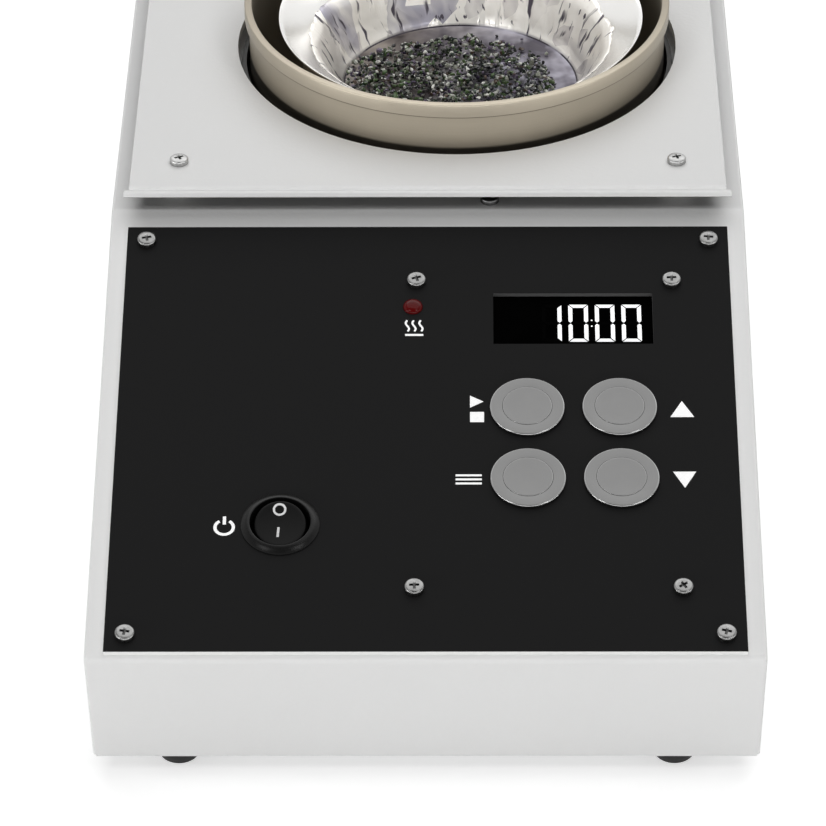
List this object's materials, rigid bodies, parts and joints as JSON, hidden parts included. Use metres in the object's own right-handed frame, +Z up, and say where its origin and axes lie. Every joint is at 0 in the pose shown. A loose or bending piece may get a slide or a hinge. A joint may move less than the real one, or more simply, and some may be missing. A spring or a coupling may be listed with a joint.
{
  "type": "combustion furnace",
  "caption": "Benchtop combustion furnace: sheet-steel case with a sloped control panel, and a round metal well in a raised deck plate that heats a lift-out steel dish.",
  "frame": {"origin": "centre of the overall box, on the table under the feet", "axes": "+Z up, +Y to the back, +X to the right as the operator sees it"},
  "size_m": [0.1952, 0.356, 0.1254],
  "materials": {
    "case_paint": "fine textured powder coat, pale warm grey",
    "bare_steel": "satin stainless steel",
    "ring_metal": "satin champagne-brown turned metal",
    "dish_steel": "polished steel",
    "foil": "crumpled bright foil",
    "granules": "glittering dark granules",
    "panel_black": "matt black face, pale cut edge",
    "screw_steel": "zinc-plated",
    "window_clear": "smoked glossy window",
    "lamp_red": "red lens",
    "button_metal": "satin grey metal",
    "switch_black": "moulded black",
    "rubber_black": "matt",
    "fibre": "heat-browned fibre board",
    "ceramic": "unglazed",
    "coil_wire": "oxidised heating alloy",
    "circuit_green": "solder-masked board",
    "moulded_dark": "moulded plastic",
    "terminal_green": "moulded plastic",
    "core_iron": "laminated",
    "brass": "plain"
  },
  "bodies": {
    "furnace": {"case_shell": "case_paint", "base_plate": "case_paint", "rear_panel": "case_paint", "foot_front_left": "rubber_black", "foot_front_right": "rubber_black", "foot_rear_left": "rubber_black", "foot_rear_right": "rubber_black", "foot_screws": "screw_steel", "base_screws": "screw_steel", "rear_screws": "screw_steel", "deck_plate": "case_paint", "deck_spacers": "bare_steel", "deck_screws": "screw_steel", "shield_can": "bare_steel", "shield_can_screws": "screw_steel", "insulation_board": "fibre", "insulation_ring": "fibre", "furnace_ring": "ring_metal", "dish_sleeve": "ring_metal", "heater_former": "ceramic", "heating_coil": "coil_wire", "heater_terminals": "brass", "thermocouple": "bare_steel", "tie_bolts": "screw_steel", "control_panel": "panel_black", "panel_screws": "screw_steel", "module_screws": "screw_steel", "board_standoffs": "brass", "display_window": "window_clear", "display_module": "moulded_dark", "indicator_lamp": "lamp_red", "control_board": "circuit_green", "start_stop_button_housing": "button_metal", "up_button_housing": "button_metal", "mode_button_housing": "button_metal", "down_button_housing": "button_metal", "button_nuts": "bare_steel", "switch_housing": "switch_black", "power_board": "circuit_green", "power_standoffs": "brass", "transformer": "core_iron", "relay": "moulded_dark", "terminal_block": "terminal_green", "power_inlet": "moulded_dark", "inlet_pins": "brass", "inlet_screws": "screw_steel"},
    "dish": {"sample_dish": "dish_steel", "foil_liner": "foil", "sample_charge": "granules"},
    "rocker": {"switch_rocker": "switch_black"},
    "start_stop_key": {"start_stop_button": "button_metal"},
    "up_key": {"up_button": "button_metal"},
    "mode_key": {"mode_button": "button_metal"},
    "down_key": {"down_button": "button_metal"}
  },
  "joints": [
    {"name": "dish_lift", "type": "slide", "parent": "furnace", "child": "dish", "axis": [0, 0, 1], "range_m": [0, 0.06]},
    {"name": "start_stop_press", "type": "slide", "parent": "furnace", "child": "start_stop_key", "axis": [0, 0.2647, -0.9643], "range_m": [0, 0.0015], "stiffness_N_per_m": 800, "springref_m": -0.0015},
    {"name": "up_press", "type": "slide", "parent": "furnace", "child": "up_key", "axis": [0, 0.2647, -0.9643], "range_m": [0, 0.0015], "stiffness_N_per_m": 800, "springref_m": -0.0015},
    {"name": "mode_press", "type": "slide", "parent": "furnace", "child": "mode_key", "axis": [0, 0.2647, -0.9643], "range_m": [0, 0.0015], "stiffness_N_per_m": 800, "springref_m": -0.0015},
    {"name": "down_press", "type": "slide", "parent": "furnace", "child": "down_key", "axis": [0, 0.2647, -0.9643], "range_m": [0, 0.0015], "stiffness_N_per_m": 800, "springref_m": -0.0015},
    {"name": "rocker_turn", "type": "hinge", "parent": "furnace", "child": "rocker", "pos_m": [-0.0425, -0.13181, 0.06655], "axis": [-1, 0, 0], "range_deg": [0, 20]}
  ]
}
